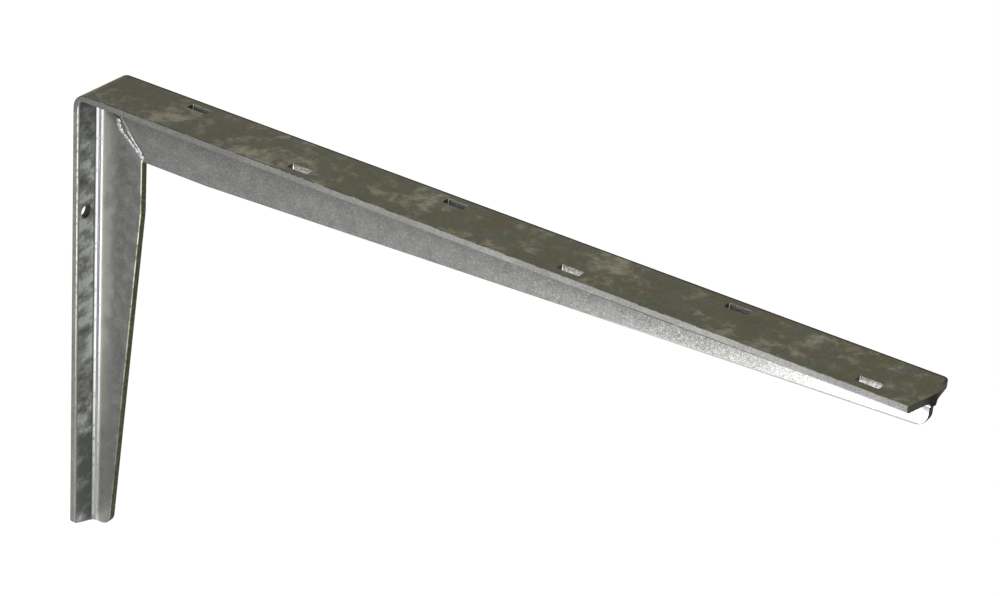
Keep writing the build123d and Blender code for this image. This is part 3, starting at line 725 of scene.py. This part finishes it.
def makeRipples():
    tree, zinc = rippleTree(), rippleHighlightZinc()
    work = bmesh.new()
    for side in (-1, 1):
        for run in rippleRuns.values():
            work.from_mesh(growRun(run, side, tree, zinc))
    for face in work.faces:
        face.material_index = 0
    mesh = bpy.data.meshes.new("weldRipples")
    work.to_mesh(mesh)
    mesh.materials.append(zinc)
    piece = bpy.data.objects.new("weldRipples", mesh)
    bpy.context.scene.collection.objects.link(piece)
    print("ripples:", len(work.verts), "points,", sum(not e.is_manifold for e in work.edges), "open edges")
    work.free()
    return piece


weldRipples = makeRipples()
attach(weldRipples, "root")

bracketSteel = makeSkin()
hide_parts("bracket")
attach(bracketSteel, "root")
print("bracket made")


# Camera, at the photograph's own angle: angles in degrees, focal length in pixels of the photograph's width
shot = {"azimuth": 31.701, "elevation": 28.311, "roll": 4.707, "distance": 1704.694, "focal": 3115.912,
        "target": (288.604, 0.0, -39.545), "frameWidth": 1000.0, "sensor": 36.0}


def placeCamera():
    a, e, r = (math.radians(shot[k]) for k in ("azimuth", "elevation", "roll"))
    back = Vector((math.sin(a) * math.cos(e), -math.cos(a) * math.cos(e), math.sin(e)))
    right = Vector((math.cos(a), math.sin(a), 0.0))
    up = back.cross(right)
    turned = math.cos(r) * right + math.sin(r) * up
    upright = -math.sin(r) * right + math.cos(r) * up
    place = (Vector(shot["target"]) + back * shot["distance"]) * mm
    data = bpy.data.cameras.new("camera")
    data.sensor_width = shot["sensor"]
    data.lens = shot["sensor"] * shot["focal"] / shot["frameWidth"]
    camera = bpy.data.objects.new("camera", data)
    camera.matrix_world = Matrix.Translation(place) @ Matrix((turned, upright, back)).transposed().to_4x4()
    bpy.context.scene.collection.objects.link(camera)
    bpy.context.scene.camera = camera


# Floor and light
studio = {"floor": -620.0, "floorSize": 16000.0, "card": "#F4F4F2", "white": "#FFFFFF", "worldLight": 0.72,
          "floorShow": 0.3, "floorWhite": 1.16}


def seenDirectly(tree):  # 1 for camera, glossy and transmission rays, which are shown plain white
    ray = addNode(tree, "ShaderNodeLightPath").outputs
    total = addNode(tree, "ShaderNodeMath", links={0: ray["Is Camera Ray"], 1: ray["Is Glossy Ray"]}, operation="ADD")
    return addNode(tree, "ShaderNodeMath", links={0: total, 1: ray["Is Transmission Ray"]}, operation="ADD",
                   use_clamp=True)


def makeWorld():
    world = bpy.data.worlds.new("studio")
    world.use_nodes = True
    tree = world.node_tree
    tree.nodes.clear()
    light = addNode(tree, "ShaderNodeBackground", {0: linear(studio["white"]), 1: studio["worldLight"]})
    shown = addNode(tree, "ShaderNodeBackground", {0: linear(studio["white"]), 1: 1.0})
    mix = addNode(tree, "ShaderNodeMixShader", links={0: seenDirectly(tree), 1: light, 2: shown})
    addNode(tree, "ShaderNodeOutputWorld", links={0: mix})
    bpy.context.scene.world = world


def makeFloor():
    half = studio["floorSize"] / 2 * mm
    z = studio["floor"] * mm
    mesh = bpy.data.meshes.new("floor")
    mesh.from_pydata([(-half, -half, z), (half, -half, z), (half, half, z), (-half, half, z)], [], [(0, 1, 2, 3)])
    floor = bpy.data.objects.new("floor", mesh)
    bpy.context.scene.collection.objects.link(floor)
    material, tree, where = newMaterial("paleCard")
    card = addNode(tree, "ShaderNodeBsdfDiffuse", {"Color": linear(studio["card"])})
    white = addNode(tree, "ShaderNodeEmission", {"Color": linear(studio["white"]), "Strength": studio["floorWhite"]})
    share = addNode(tree, "ShaderNodeMath", {1: 1.0 - studio["floorShow"]}, {0: seenDirectly(tree)},
                    operation="MULTIPLY")
    mix = addNode(tree, "ShaderNodeMixShader", links={0: share, 1: card, 2: white})
    addNode(tree, "ShaderNodeOutputMaterial", links={"Surface": mix})
    mesh.materials.append(material)


# the front lamp lights the faces that look at the viewer, and the low card gives the web its gleam towards the end
lamps = {"frontLamp": {"at": (-350, -1700, 350), "to": (250, 0, -100), "size": (1400, 900), "watts": 12.0},
         "gleamCard": {"at": (390, -800, -500), "to": (480, 0, -20), "size": (620, 420), "watts": 9.8}}


def placeLamps():
    for name, lamp in lamps.items():
        data = bpy.data.lights.new(name, "AREA")
        data.shape = "RECTANGLE"
        data.size, data.size_y = (s * mm for s in lamp["size"])
        data.energy = lamp["watts"]
        place = Vector(lamp["at"]) * mm
        aim = (Vector(lamp["to"]) * mm - place).to_track_quat("-Z", "Y")
        light = bpy.data.objects.new(name, data)
        light.matrix_world = Matrix.Translation(place) @ aim.to_matrix().to_4x4()
        light.visible_camera = False
        bpy.context.scene.collection.objects.link(light)


placeCamera()
makeWorld()
makeFloor()
placeLamps()
view = bpy.context.scene.view_settings
view.view_transform = "Standard"
print("studio made")
